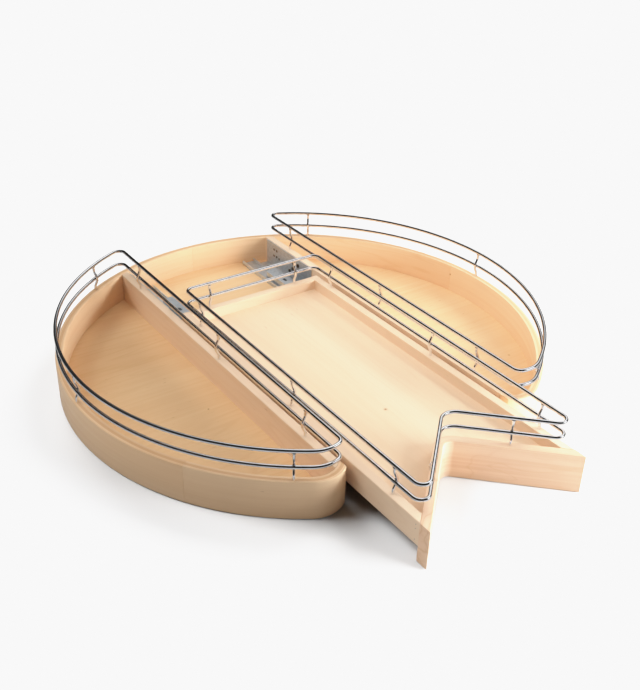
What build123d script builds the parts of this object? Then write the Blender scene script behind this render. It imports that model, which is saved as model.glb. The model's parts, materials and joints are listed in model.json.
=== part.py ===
from build123d import *
import math
import os

os.makedirs("parts", exist_ok=True)

# Pull-out kidney shelf: a round wooden tray on a ball turntable, with a V-fronted drawer between
# two D-shaped compartments. Millimetres, +Z up. The origin is the centre of the turntable's
# lower ring, on the surface that it is screwed to. The drawer pulls out along -Y and is
# modelled part open. "Right" is +X.

# Tray
tray_radius = 406.4
band_thickness = 12.7
wall_height = 63.5
wall_lift = 1.5            # gap between the walls' lower edge and the surface
base_thickness = 6.35
rabbet_depth = 5.0         # how far the base panel enters the band
bay_width = 306.0          # between the two dividers
divider_thickness = 15.0
lobe_radius = 50.8         # outside radius where the band turns in beside the drawer
notch_angle = 44.0         # slope of each half of the V, from the X axis
notch_apex_y = -195.0      # front face of the V at its apex, with the drawer shut
seam_angles = (8.5, 90.0, 213.0)   # butt joints in the band
eased_edge = 1.2           # rounding of the wooden pieces' top edges

# Drawer
drawer_side_clearance = 10.0   # between the drawer and each divider
drawer_back_setback = 31.0     # from the slides' rear ends to the shut drawer's back
drawer_pulled = 174.6      # how far the drawer stands open in this model
side_height = 38.1
side_thickness = 14.5
front_thickness = 14.5
front_bend_radius = 16.0   # on the face that the user sees
drawer_bottom_thickness = 6.35
drawer_recess = 12.75      # under the drawer's bottom panel, for the slides
panel_groove = 6.0
notch_clearance = 3.0      # between the shut drawer's front and the base panel's edge

# Rails
rail_diameter = 6.0
post_diameter = 4.5
rail_height = 48.0         # top rail's centre above the wall
drawer_rail_height = 46.5  # the drawer's own
lower_rail_height = 21.5
post_depth = 12.0          # into the wall
post_lean_start = 7.75     # above the wall, where a post starts to lean inwards
post_lean_end = 15.0       # above the lower rail, where it stands straight again
post_bypass = 2.7          # half its straight stretch beside the lower rail
post_hole_clearance = 0.05
weld_gap = 0.05
band_rail_inset = 5.35     # from the band's outer face to the rail's centre
divider_rail_inset = 9.5   # from the divider's bay face
drawer_rail_inset = 7.25   # from the drawer side's outer face
back_rail_inset = 4.5      # from the drawer back's outer face
rail_corner_radius = 12.0
rail_apex_radius = 24.0
band_post_angles = (54.5, 0.0, -55.0)
divider_post_y = (285.0, -5.0, -255.0)
side_post_y = (105.0, -179.0, -423.0)
back_post_x = 89.0
front_post_x = 72.0

# Turntable
ring_outer_radius = 152.0
ring_width = 47.0
ring_gauge = 1.2
turntable_height = 6.4
ball_track_inset = 24.0    # from the ring's outer edge
turntable_ball = 3.8
turntable_ball_count = 24
cage_half_width = 5.0
cage_gauge = 0.8
cage_hole_clearance = 0.1
rim_lip = 3.8              # inward reach of the lower ring's rolled rim, with its wall
rim_height = 4.4
rim_gauge = 1.0
rim_running_gap = 0.9      # between the upper ring's flange and the lower ring's rim
flange_width = 5.9
flange_bottom_z = 1.9
flange_gauge = 1.0
surface_hole_radius = 2.75
surface_hole_inset = 10.0  # from the ring's inner edge
surface_hole_count = 4
access_hole_radius = 7.5
ring_screw_inset = 14.0    # from the ring's outer edge
ring_screw_count = 6
ring_screw_turn = 30.0     # of the first one, from the X axis
screw_radius = 2.0
screw_head_radius = 3.8
screw_head_height = 2.2
ring_screw_tip_z = 4.2

# Drawer slides
slide_length = 457.0
slide_gauge = 1.2
slide_width = 27.0
slide_side_gap = 1.0       # between the slide and the drawer side's inner face
slide_notch_gap = 2.0      # beside the slide, in the drawer's back
slide_rear_gap = 4.5       # between the cabinet member's outer corner and the band
drawer_member_setback = 21.0   # from the slides' rear ends, with the drawer shut
slide_ball = 3.0
slide_ball_gap = 0.1
slide_lip = 2.6            # inward lip of the outer channels
middle_flange = 2.0
trap_gap = 0.4             # between a middle flange and the lip that traps it
slide_cage_length = 180.0
balls_per_row = 8
slot_length = 12.0
slot_width = 5.0
slot_from_rear = 52.0

# Brackets
bracket_gauge = 2.0
bracket_length = 160.0
bracket_rear_gap = 9.0     # to the band, at the divider
bracket_drop = 1.0         # below the top of the divider
foot_length = 30.0
foot_setback = 10.0        # from the cabinet member's front end
bracket_hole_radius = 2.2
bracket_hole_spots = ((27.0, 50.0), (37.0, 50.0), (27.0, 36.5), (37.0, 37.0), (46.0, 36.0))
bracket_screw_spots = ((97.0, 49.0), (115.0, 49.5), (97.0, 36.0), (86.0, 27.0))
floor_screw_spots = (24.0, 122.0)
floor_screw_length = 5.5
wall_screw_length = 12.0
pan_head_height = 1.8
rivet_radius = 2.0
rivet_head_radius = 3.6
rivet_head_height = 0.7

# Clips and small fasteners
clip_length = 44.0
clip_width = 26.0
clip_lever_length = 20.0
clip_lever_gauge = 2.5
clip_screw_radius = 1.6
clip_screw_bite = 5.0      # into the drawer's bottom panel
hook_height = 11.0
hook_pin_radius = 2.5
hook_pin_reach = 8.0
brad_radius = 0.8
brad_length = 26.0
front_brad_length = 18.0   # ends inside the front
back_brad_shares = (0.2, 0.5, 0.8)   # of the height between the drawer's floor and top
front_brad_heights = (6.0, 24.0, 31.0)   # above the drawer side's lower edge
front_brad_setback = 8.0   # behind the joint between side and front
divider_screw_length = 32.0
divider_screw_y = (240.0, 0.0, -240.0)

# Worked-out places
wall_bottom = wall_lift
wall_top = wall_lift + wall_height
panel_bottom = turntable_height
floor_z = turntable_height + base_thickness
bay_half = bay_width / 2
divider_outer = bay_half + divider_thickness
drawer_half = bay_half - drawer_side_clearance
drawer_inner = drawer_half - side_thickness
side_bottom = wall_top - side_height
drawer_panel_bottom = side_bottom + drawer_recess
drawer_floor = drawer_panel_bottom + drawer_bottom_thickness
ring_inner_radius = ring_outer_radius - ring_width
ball_track_radius = ring_outer_radius - ball_track_inset
ring_screw_radius = ring_outer_radius - ring_screw_inset
surface_hole_place = ring_inner_radius + surface_hole_inset
flange_outer_radius = ring_outer_radius - ring_gauge - rim_running_gap
flange_inner_radius = flange_outer_radius - flange_width
band_inner_radius = tray_radius - band_thickness
slide_outer = drawer_inner - slide_side_gap
slide_inner = slide_outer - slide_width
slide_rear_y = math.sqrt(band_inner_radius ** 2 - slide_outer ** 2) - slide_rear_gap
drawer_back_y = slide_rear_y - drawer_back_setback
slope = math.radians(notch_angle)
cut_past = 1.0             # how far a cutting solid passes what it cuts
head_rounding = 0.45       # of a pan head's height
far = 2 * tray_radius
big = 3 * tray_radius


def box(x0, x1, y0, y1, z0, z1):
    return Pos((x0 + x1) / 2, (y0 + y1) / 2, (z0 + z1) / 2) * Box(x1 - x0, y1 - y0, z1 - z0)


def disc(x, y, radius, z0, z1):
    return Pos(x, y, (z0 + z1) / 2) * Cylinder(radius, z1 - z0)


def tube_ring(inner, outer, z0, z1):
    return disc(0, 0, outer, z0, z1) - disc(0, 0, inner, z0, z1)


def upright(face, z0, z1):
    return Pos(0, 0, z0) * extrude(face, amount=z1 - z0)


def polar(radius, degrees):
    a = math.radians(degrees)
    return radius * math.cos(a), radius * math.sin(a)


def twin(shape):
    """The same piece on the other side of the YZ plane."""
    return mirror(shape, about=Plane.YZ)


def save(name, *shapes):
    solids = [s for shape in shapes for s in shape.solids()]
    export_step(solids[0] if len(solids) == 1 else Compound(solids), f"parts/{name}.step")


def lobe_centre():
    """Centre of the right lobe: lobe_radius inside both the tray's circle and the V's line."""
    normal = Vector(-math.sin(slope), -math.cos(slope))
    along = Vector(math.cos(slope), -math.sin(slope))
    depth = -notch_apex_y * math.cos(slope) - lobe_radius
    reach = math.sqrt((tray_radius - lobe_radius) ** 2 - depth ** 2)
    return normal * depth + along * reach, normal


def kidney(inset):
    """The tray's outline moved inwards: circle, two lobes and the V."""
    centre, normal = lobe_centre()
    radius = tray_radius - inset
    lobe = lobe_radius - inset
    outward = centre.normalized()
    on_circle = centre + outward * lobe
    on_notch = centre + normal * lobe
    middle = centre + (outward + normal).normalized() * lobe
    apex = Vector(0, notch_apex_y + inset / math.cos(slope))

    def left(v):
        return Vector(-v.X, v.Y)

    edges = [
        ThreePointArc(on_circle, (0, radius), left(on_circle)),
        ThreePointArc(left(on_circle), left(middle), left(on_notch)),
        Line(left(on_notch), apex),
        Line(apex, on_notch),
        ThreePointArc(on_notch, middle, on_circle),
    ]
    return make_face(Curve() + edges)


def ahead_of_v(inset, bend, z0, z1, shift):
    """Everything in front of the V's face moved back by inset, for the drawer at shift."""
    apex_y = notch_apex_y + inset / math.cos(slope) - shift
    foot_y = apex_y - far * math.tan(slope)
    points = [(0, apex_y), (far, foot_y), (far, -big), (-far, -big), (-far, foot_y)]
    block = upright(make_face(Polyline(*points, close=True)), z0, z1)
    edge = block.edges().filter_by(Axis.Z).filter_by_position(Axis.X, -cut_past, cut_past)
    return fillet(edge, bend)


def wedge(from_degrees, to_degrees):
    """A prism over the sector between two angles, past the tray's edge."""
    steps = 4
    turn = (to_degrees - from_degrees) / steps
    rim = [polar(far, from_degrees + turn * i) for i in range(steps + 1)]
    return upright(make_face(Polyline((0, 0), *rim, close=True)), 0, wall_top)


def ease_top(solid, along=None):
    """Rounds the top face's edges, or only those that run along an axis."""
    edges = solid.edges().group_by(Axis.Z)[-1]
    if along:
        edges = edges.filter_by(along)
    return fillet(edges, eased_edge)


def screw(head_radius, head_height, shank_radius, length):
    """A pan-head screw pointing down, its head's seat at z = 0."""
    head = Pos(0, 0, head_height / 2) * Cylinder(head_radius, head_height)
    head = fillet(head.edges().group_by(Axis.Z)[-1], head_height * head_rounding)
    return head + Pos(0, 0, -length / 2) * Cylinder(shank_radius, length)


def flat_screw(length):
    """A countersunk screw pointing down, its head flush with z = 0."""
    cone = Pos(0, 0, -screw_head_height / 2) * Cone(screw_radius, screw_head_radius, screw_head_height)
    return cone + Pos(0, 0, -length / 2) * Cylinder(screw_radius, length)


# Turntable: two pressed rings with a ball race between them
upper_plate_z = turntable_height - ring_gauge
ball_z = (ring_gauge + upper_plate_z) / 2
ring_screw = flat_screw(floor_z - ring_screw_tip_z)
ring_screws = []
for i in range(ring_screw_count):
    x, y = polar(ring_screw_radius, 360 / ring_screw_count * i + ring_screw_turn)
    ring_screws.append(Pos(x, y, floor_z) * ring_screw)

lower_ring = tube_ring(ring_inner_radius, ring_outer_radius, 0, ring_gauge)
lower_ring += tube_ring(ring_outer_radius - ring_gauge, ring_outer_radius, 0, rim_height)
lower_ring += tube_ring(ring_outer_radius - rim_lip, ring_outer_radius, rim_height - rim_gauge, rim_height)
for i in range(surface_hole_count):
    x, y = polar(surface_hole_place, 360 / surface_hole_count * i)
    lower_ring -= disc(x, y, surface_hole_radius, -cut_past, ring_gauge + cut_past)

skirt_radius = flange_inner_radius + ring_gauge
upper_ring = tube_ring(ring_inner_radius, skirt_radius, upper_plate_z, turntable_height)
upper_ring += tube_ring(flange_inner_radius, skirt_radius, flange_bottom_z, turntable_height)
upper_ring += tube_ring(
    flange_inner_radius, flange_outer_radius, flange_bottom_z, flange_bottom_z + flange_gauge
)
access_hole = disc(
    0, surface_hole_place, access_hole_radius, upper_plate_z - cut_past, floor_z + cut_past
)
upper_ring -= access_hole

turntable_cage = tube_ring(
    ball_track_radius - cage_half_width,
    ball_track_radius + cage_half_width,
    ball_z - cage_gauge / 2,
    ball_z + cage_gauge / 2,
)
turntable_balls = []
for i in range(turntable_ball_count):
    x, y = polar(ball_track_radius, 360 / turntable_ball_count * (i + 0.5))
    turntable_cage -= disc(x, y, turntable_ball / 2 + cage_hole_clearance, 0, turntable_height)
    turntable_balls.append(Pos(x, y, ball_z) * Sphere(turntable_ball / 2))

# Tray: base panel, band in four bent pieces, two dividers
bay_front = box(-bay_half, bay_half, -big, 0, 0, wall_top)
side_panel = upright(kidney(band_thickness - rabbet_depth), panel_bottom, floor_z) - bay_front
bay_panel = box(-bay_half, bay_half, -tray_radius, 0, panel_bottom, floor_z)
notch_bend = front_bend_radius + front_thickness + notch_clearance
bay_panel -= ahead_of_v(front_thickness + notch_clearance, notch_bend, 0, wall_top, 0)
base_panel = side_panel + bay_panel
band = upright(kidney(0), wall_bottom, wall_top)
band -= upright(kidney(band_thickness), wall_bottom, wall_top)
band = ease_top(band - bay_front) - base_panel

divider = upright(kidney(band_thickness), floor_z, wall_top)
divider = divider & box(bay_half, divider_outer, -tray_radius, tray_radius, floor_z, wall_top)
divider = ease_top(divider, Axis.Y)
divider_x = (bay_half + divider_outer) / 2
divider_screws = []
for y in divider_screw_y:
    turned = Pos(divider_x, y, panel_bottom) * Rot(180, 0, 0) * flat_screw(divider_screw_length)
    divider_screws += [turned, twin(turned)]

for s in ring_screws:
    base_panel -= s
    upper_ring -= s
base_panel -= access_hole
for s in divider_screws[::2]:
    divider -= s
for s in divider_screws:
    base_panel -= s


# Rails
def post(top):
    """A wire post: down into the wall, round the lower rail on the inner side (+Y here), up to
    the top rail, where its end is coped to the wire."""
    reach = (rail_diameter + post_diameter) / 2 + weld_gap
    low = lower_rail_height
    path = FilletPolyline(
        (0, 0, -post_depth),
        (0, 0, post_lean_start),
        (0, reach, low - post_bypass),
        (0, reach, low + post_bypass),
        (0, 0, low + post_lean_end),
        (0, 0, top),
        radius=post_diameter,
    )
    wire = sweep(Pos(0, 0, -post_depth) * Circle(post_diameter / 2), path=path)
    rail = Pos(0, 0, top) * Rot(0, 90, 0) * Cylinder(rail_diameter / 2 + weld_gap, 4 * rail_diameter)
    wire -= rail
    return Pos(0, 0, wall_top) * wire.solids().sort_by(Axis.Z)[0]


def post_hole(x, y):
    return disc(x, y, post_diameter / 2 + post_hole_clearance, wall_top - post_depth, wall_top + cut_past)


def loop(face, z):
    """A closed wire rail along a face's outline."""
    path = face.face().outer_wire()
    start = Plane(origin=path @ 0, z_dir=path % 0)
    return Pos(0, 0, z) * sweep(start * Circle(rail_diameter / 2), path=path)


tray_post = post(rail_height)
band_rail_radius = tray_radius - band_rail_inset
divider_rail_x = bay_half + divider_rail_inset
half = Pos(divider_rail_x + far / 2, 0) * Rectangle(far, 2 * far)
rail_face = kidney(band_rail_inset) & half
rail_face = offset(offset(rail_face, -rail_corner_radius), rail_corner_radius)
top_rail_z = wall_top + rail_height
lower_rail_z = wall_top + lower_rail_height
right_rail_top = loop(rail_face, top_rail_z)
right_rail_lower = loop(rail_face, lower_rail_z)

right_posts = []
right_holes = []
for angle in band_post_angles:
    x, y = polar(band_rail_radius, angle)
    right_posts.append(Pos(x, y, 0) * Rot(0, 0, angle + 90) * tray_post)
    right_holes.append(post_hole(x, y))
divider_holes = []
for y in divider_post_y:
    right_posts.append(Pos(divider_rail_x, y, 0) * Rot(0, 0, -90) * tray_post)
    divider_holes.append(post_hole(divider_rail_x, y))
for hole in right_holes:
    band = band - hole - twin(hole)
for hole in divider_holes:
    divider -= hole

# Drawer, in its part-open place
back_y = drawer_back_y - drawer_pulled
back_inner_y = back_y - side_thickness
apex_y = notch_apex_y - drawer_pulled
in_front_of_rear = ahead_of_v(
    front_thickness, front_bend_radius + front_thickness, 0, wall_top, drawer_pulled
)
front = box(-drawer_half, drawer_half, -big, back_y, wall_bottom, wall_top) & in_front_of_rear
front -= ahead_of_v(0, front_bend_radius, 0, wall_top, drawer_pulled)
side = box(drawer_inner, drawer_half, -big, back_y, side_bottom, wall_top) - in_front_of_rear
back = box(-drawer_inner, drawer_inner, back_inner_y, back_y, side_bottom, wall_top)
front = ease_top(front)
side = ease_top(side, Axis.Y)
back = ease_top(back, Axis.X)
drawer_bottom = box(
    -drawer_inner - panel_groove,
    drawer_inner + panel_groove,
    -big,
    back_inner_y + panel_groove,
    drawer_panel_bottom,
    drawer_floor,
) - ahead_of_v(
    front_thickness - panel_groove,
    front_bend_radius + front_thickness - panel_groove,
    0,
    wall_top,
    drawer_pulled,
)
front -= drawer_bottom
side -= drawer_bottom
back -= drawer_bottom

# Slides, right-hand set; x runs inwards from the drawer side
slide_x = (slide_outer + slide_inner) / 2
slide_half = slide_width / 2
wall_in = slide_half - slide_gauge     # inner faces of an outer channel's walls and lips
lip_in = slide_half - slide_lip
cabinet_z = floor_z + bracket_gauge
row_offset = wall_in - slide_ball_gap - slide_ball / 2
step = slide_ball + 2 * slide_ball_gap
middle_half = wall_in - step


def span(half_width_in, half_width_out, y0, y1, z0, z1):
    """A pair of strips, one each side of the slide's centre line."""
    right = box(slide_x + half_width_in, slide_x + half_width_out, y0, y1, z0, z1)
    left = box(slide_x - half_width_out, slide_x - half_width_in, y0, y1, z0, z1)
    return right + left


def plate(half_width, y0, y1, z0, z1):
    return box(slide_x - half_width, slide_x + half_width, y0, y1, z0, z1)


lower_ball_z = cabinet_z + slide_gauge + slide_ball_gap + slide_ball / 2
foot_z = cabinet_z + slide_gauge + step
cabinet_top = foot_z + slide_gauge + trap_gap + slide_gauge
cabinet_y1 = slide_rear_y
cabinet_y0 = slide_rear_y - slide_length
cabinet_member = plate(slide_half, cabinet_y0, cabinet_y1, cabinet_z, cabinet_z + slide_gauge)
cabinet_member += span(wall_in, slide_half, cabinet_y0, cabinet_y1, cabinet_z, cabinet_top)
cabinet_member += span(lip_in, slide_half, cabinet_y0, cabinet_y1, cabinet_top - slide_gauge, cabinet_top)

upper_web_z = drawer_panel_bottom - slide_gauge
upper_ball_z = upper_web_z - slide_ball_gap - slide_ball / 2
head_z = upper_web_z - step
drawer_lip_z = head_z - slide_gauge - trap_gap - slide_gauge
member_y1 = slide_rear_y - drawer_member_setback - drawer_pulled
member_y0 = member_y1 - slide_length
drawer_member = plate(slide_half, member_y0, member_y1, upper_web_z, drawer_panel_bottom)
drawer_member += span(wall_in, slide_half, member_y0, member_y1, drawer_lip_z, drawer_panel_bottom)
drawer_member += span(lip_in, slide_half, member_y0, member_y1, drawer_lip_z, drawer_lip_z + slide_gauge)
hook_top = drawer_panel_bottom + hook_height
hook_pin_z = (drawer_floor + hook_top) / 2
hook_tab = plate(slide_width / 4, member_y1 - slide_gauge, member_y1, upper_web_z, hook_top)
hook_pin = Pos(slide_x, (member_y1 + back_y - hook_pin_reach) / 2, hook_pin_z)
hook_pin = hook_pin * Rot(90, 0, 0) * Cylinder(hook_pin_radius, member_y1 - back_y + hook_pin_reach)
drawer_member = drawer_member + hook_tab + hook_pin

middle_y1 = slide_rear_y - drawer_pulled / 2
middle_y0 = middle_y1 - slide_length
middle_member = plate(middle_half + middle_flange, middle_y0, middle_y1, head_z - slide_gauge, head_z)
middle_member += span(middle_half - slide_gauge, middle_half, middle_y0, middle_y1, foot_z, head_z)
middle_member += span(
    middle_half - slide_gauge, middle_half + middle_flange, middle_y0, middle_y1, foot_z, foot_z + slide_gauge
)
slot_y = middle_y1 - slot_from_rear
middle_member -= Pos(slide_x, slot_y, head_z - slide_gauge / 2) * extrude(
    SlotOverall(slot_length, slot_width, rotation=90), amount=slide_gauge, both=True
)

# Ball cages: at every place of the drawer, centred on the overlap of the two members that they
# run between
lower_cage_y = (cabinet_y0 + middle_y1) / 2
upper_cage_y = (middle_y0 + member_y1) / 2


def ball_cage(centre_y, z):
    half_length = slide_cage_length / 2
    strip = plate(
        row_offset + slide_ball / 2,
        centre_y - half_length,
        centre_y + half_length,
        z - cage_gauge / 2,
        z + cage_gauge / 2,
    )
    balls = []
    pitch = slide_cage_length / balls_per_row
    for i in range(balls_per_row):
        y = centre_y - half_length + pitch * (i + 0.5)
        for x in (slide_x - row_offset, slide_x + row_offset):
            strip -= disc(x, y, slide_ball / 2 + cage_hole_clearance, z - slide_ball, z + slide_ball)
            balls.append(Pos(x, y, z) * Sphere(slide_ball / 2))
    return strip, balls


lower_cage, lower_balls = ball_cage(lower_cage_y, lower_ball_z)
upper_cage, upper_balls = ball_cage(upper_cage_y, upper_ball_z)

# Rear brackets against the dividers, and low feet under the slides' front ends
bracket_y1 = math.sqrt(band_inner_radius ** 2 - bay_half ** 2) - bracket_rear_gap
bracket_y0 = bracket_y1 - bracket_length
flange_x = bay_half - bracket_gauge
bracket = box(slide_inner, bay_half, bracket_y0, bracket_y1, floor_z, floor_z + bracket_gauge)
bracket += box(flange_x, bay_half, bracket_y0, bracket_y1, floor_z, wall_top - bracket_drop)
for from_rear, height in bracket_hole_spots:
    hole = Pos(flange_x, bracket_y1 - from_rear, height + wall_bottom)
    bracket -= hole * Rot(0, 90, 0) * Cylinder(bracket_hole_radius, 4 * bracket_gauge)
foot_y0 = cabinet_y0 + foot_setback
slide_foot = box(slide_inner, bay_half, foot_y0, foot_y0 + foot_length, floor_z, floor_z + bracket_gauge)

floor_screw_x = (slide_outer + flange_x) / 2
wall_screw = screw(screw_head_radius, pan_head_height, screw_radius, wall_screw_length)
floor_screw = screw(screw_head_radius, pan_head_height, screw_radius, floor_screw_length)
bracket_screws = []
for from_rear, height in bracket_screw_spots:
    spot = Pos(flange_x, bracket_y1 - from_rear, height + wall_bottom)
    bracket_screws.append(spot * Rot(0, -90, 0) * wall_screw)
for y in [bracket_y1 - spot for spot in floor_screw_spots] + [foot_y0 + foot_length / 2]:
    bracket_screws.append(Pos(floor_screw_x, y, floor_z + bracket_gauge) * floor_screw)
for s in bracket_screws:
    bracket -= s
    slide_foot -= s
    divider -= s
    base_panel = base_panel - s - twin(s)

rivets = []
for y in (bracket_y1 - floor_screw_spots[0], bracket_y1 - floor_screw_spots[1], foot_y0 + foot_length / 2):
    seat_z = cabinet_z + slide_gauge
    shank = disc(slide_x, y, rivet_radius, floor_z, seat_z)
    head = disc(slide_x, y, rivet_head_radius, seat_z, seat_z + rivet_head_height)
    rivets.append(shank + head)
for r in rivets:
    bracket -= r
    slide_foot -= r
    cabinet_member -= r

# Locking clips under the drawer, ahead of the slides
clip_y1 = member_y0
clip_y0 = clip_y1 - clip_length
clip = plate(clip_width / 2, clip_y0, clip_y1, upper_web_z - slide_gauge, drawer_panel_bottom)
clip += plate(clip_width / 2, clip_y0 + clip_lever_length, clip_y1, drawer_lip_z, drawer_panel_bottom)
clip += plate(
    clip_width / 4,
    clip_y0 - clip_lever_length,
    clip_y0 + clip_lever_length,
    drawer_lip_z,
    drawer_lip_z + clip_lever_gauge,
)
clip_screw = screw(screw_head_radius, pan_head_height, clip_screw_radius, 2 * slide_gauge + clip_screw_bite)
clip_screws = []
for dx in (-clip_width / 3, clip_width / 3):
    up = Pos(slide_x + dx, clip_y0 + clip_lever_length / 2, upper_web_z - slide_gauge) * Rot(180, 0, 0)
    clip_screws.append(up * clip_screw)
for s in clip_screws:
    clip -= s
    drawer_bottom = drawer_bottom - s - twin(s)

# The back is notched over the slides and bored for their hook pins
slide_notch = box(
    slide_inner - slide_notch_gap,
    drawer_inner,
    back_inner_y - cut_past,
    back_y + cut_past,
    side_bottom - cut_past,
    drawer_panel_bottom,
)
for piece in (slide_notch, hook_pin):
    back = back - piece - twin(piece)

# Brads through the drawer's sides into its back and front
brad = Rot(0, 90, 0) * Cylinder(brad_radius, brad_length)
brad_x = drawer_half - brad_length / 2
brads = []
front_brad_y = apex_y + front_thickness / math.cos(slope) - drawer_half * math.tan(slope)
for share in back_brad_shares:
    z = drawer_floor + share * (wall_top - drawer_floor)
    brads.append(Pos(brad_x, (back_y + back_inner_y) / 2, z) * brad)
for b in brads:
    side -= b
    back = back - b - twin(b)
front_brads = []
for height in front_brad_heights:
    start = Vector(drawer_half, front_brad_y + front_brad_setback, side_bottom + height)
    across = Vector(-math.sin(slope), -math.cos(slope), 0)
    place = Plane(origin=start + across * (front_brad_length / 2), z_dir=across)
    front_brads.append(place * Cylinder(brad_radius, front_brad_length))
for b in front_brads:
    side -= b
    front = front - b - twin(b)

# Drawer rail: along the sides, the back and the V
drawer_rail_x = drawer_half - drawer_rail_inset
back_rail_y = back_y - back_rail_inset
rail_apex_y = apex_y + front_thickness / 2 / math.cos(slope)
rail_end_y = rail_apex_y - drawer_rail_x * math.tan(slope)
drawer_rail_points = [
    (drawer_rail_x, back_rail_y),
    (-drawer_rail_x, back_rail_y),
    (-drawer_rail_x, rail_end_y),
    (0, rail_apex_y),
    (drawer_rail_x, rail_end_y),
]
drawer_rail_face = make_face(Polyline(*drawer_rail_points, close=True))
outer_corners = [v for v in drawer_rail_face.vertices() if abs(v.X) > cut_past]
drawer_rail_face = fillet(outer_corners, rail_corner_radius)
apex_corner = sorted(drawer_rail_face.vertices(), key=lambda v: abs(v.X))[:1]
drawer_rail_face = fillet(apex_corner, rail_apex_radius)
drawer_rail_top = loop(drawer_rail_face, wall_top + drawer_rail_height)
drawer_rail_lower = loop(drawer_rail_face, lower_rail_z)

drawer_post = post(drawer_rail_height)
drawer_posts = []
for y in side_post_y:
    standing = Pos(drawer_rail_x, y, 0) * Rot(0, 0, 90) * drawer_post
    drawer_posts += [standing, twin(standing)]
    hole = post_hole(drawer_rail_x, y)
    side -= hole
standing = Pos(back_post_x, back_rail_y, 0) * Rot(0, 0, 180) * drawer_post
drawer_posts += [standing, twin(standing)]
hole = post_hole(back_post_x, back_rail_y)
back = back - hole - twin(hole)
front_post_y = rail_apex_y - front_post_x * math.tan(slope)
standing = Pos(front_post_x, front_post_y, 0) * Rot(0, 0, -notch_angle) * drawer_post
drawer_posts += [standing, twin(standing)]
hole = post_hole(front_post_x, front_post_y)
front = front - hole - twin(hole)

# Written pieces
save("turntable_lower_ring", lower_ring)
save("turntable_upper_ring", upper_ring)
save("turntable_ball_cage", turntable_cage)
save("turntable_balls", *turntable_balls)
save("turntable_screws", *ring_screws)
save("base_panel", base_panel)
band_ends = (-90.0, *seam_angles, 270.0)
band_names = ("right_front", "right_back", "left_back", "left_front")
for name, start, end in zip(band_names, band_ends, band_ends[1:]):
    save(f"band_{name}", band & wedge(start, end))
save("divider_right", divider)
save("divider_left", twin(divider))
save("divider_screws", *divider_screws)
save("rail_top_right", right_rail_top)
save("rail_top_left", twin(right_rail_top))
save("rail_lower_right", right_rail_lower)
save("rail_lower_left", twin(right_rail_lower))
save("rail_posts_right", *right_posts)
save("rail_posts_left", *[twin(p) for p in right_posts])
save("drawer_front", front)
save("drawer_side_right", side)
save("drawer_side_left", twin(side))
save("drawer_back", back)
save("drawer_bottom", drawer_bottom)
save("drawer_rail_top", drawer_rail_top)
save("drawer_rail_lower", drawer_rail_lower)
save("drawer_rail_posts", *drawer_posts)
all_brads = brads + front_brads
save("drawer_brads", *all_brads, *[twin(b) for b in all_brads])
pairs = {
    "slide_bracket": [bracket],
    "slide_foot": [slide_foot],
    "slide_cabinet_member": [cabinet_member],
    "slide_middle_member": [middle_member],
    "slide_drawer_member": [drawer_member],
    "slide_lower_cage": [lower_cage],
    "slide_lower_balls": lower_balls,
    "slide_upper_cage": [upper_cage],
    "slide_upper_balls": upper_balls,
    "slide_rivets": rivets,
    "locking_clip": [clip],
}
for name, shapes in pairs.items():
    save(f"{name}_right", *shapes)
    save(f"{name}_left", *[twin(s) for s in shapes])
save("bracket_screws", *bracket_screws, *[twin(s) for s in bracket_screws])
save("clip_screws", *clip_screws, *[twin(s) for s in clip_screws])
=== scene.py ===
import json
import math

import bpy
import numpy as np
from mathutils import Matrix, Vector


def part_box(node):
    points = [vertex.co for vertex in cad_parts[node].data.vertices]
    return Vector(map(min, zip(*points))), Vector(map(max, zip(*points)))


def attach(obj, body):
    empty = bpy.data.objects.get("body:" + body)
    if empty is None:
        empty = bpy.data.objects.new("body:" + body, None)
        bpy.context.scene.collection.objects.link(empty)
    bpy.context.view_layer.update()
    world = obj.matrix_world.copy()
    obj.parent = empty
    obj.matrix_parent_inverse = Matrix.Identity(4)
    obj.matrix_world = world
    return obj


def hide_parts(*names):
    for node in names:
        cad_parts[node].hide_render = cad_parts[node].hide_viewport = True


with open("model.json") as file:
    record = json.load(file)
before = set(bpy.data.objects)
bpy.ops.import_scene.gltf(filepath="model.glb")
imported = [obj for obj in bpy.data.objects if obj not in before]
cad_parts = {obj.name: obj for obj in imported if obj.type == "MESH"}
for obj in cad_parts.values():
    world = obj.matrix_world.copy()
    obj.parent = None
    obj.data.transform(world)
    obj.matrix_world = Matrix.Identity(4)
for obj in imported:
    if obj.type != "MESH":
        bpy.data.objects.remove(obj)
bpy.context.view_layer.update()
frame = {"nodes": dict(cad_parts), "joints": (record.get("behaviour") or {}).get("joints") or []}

# Pull-out kidney shelf: bent birch bands, maple boards, chrome wire rails, zinc drawer slides.
# Metres, in the frame's axes: +Z up, the drawer pulls out along -Y, "right" is +X.
MM = 0.001

# Sizes that a box of a node doesn't give. Bands, front and dividers:
band_thickness = 12.7 * MM
band_rabbet = 5.0 * MM
ply = 1.4 * MM
lobe_radius = 50.8 * MM
seam_angles = (8.5, 90.0, 213.0)
notch_angle = math.radians(44.0)
front_thickness = 14.5 * MM
front_bend_radius = 16.0 * MM
panel_groove = 6.0 * MM
divider_thickness = 15.0 * MM

# Wire rails
rail_radius = 3.0 * MM
rail_corner_radius = 12.0 * MM
rail_apex_radius = 24.0 * MM
post_radius = 2.25 * MM
post_depth = 10.0 * MM
post_lean_start = 7.75 * MM
post_lean_end = 15.0 * MM
post_bypass = 2.7 * MM
post_bend_radius = 6.0 * MM
flank_bead = (1.5 * MM, 3.3 * MM, 2.6 * MM)      # radii of a weld bead: inwards, sideways, up
under_bead = (2.9 * MM, 3.4 * MM, 1.3 * MM)
band_post_angles = (54.5, 0.0, -55.0)
divider_post_y = (0.285, -0.005, -0.255)
side_post_y = (0.105, -0.179, -0.423)
back_post_x = 89.0 * MM
front_post_x = 72.0 * MM

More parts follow.
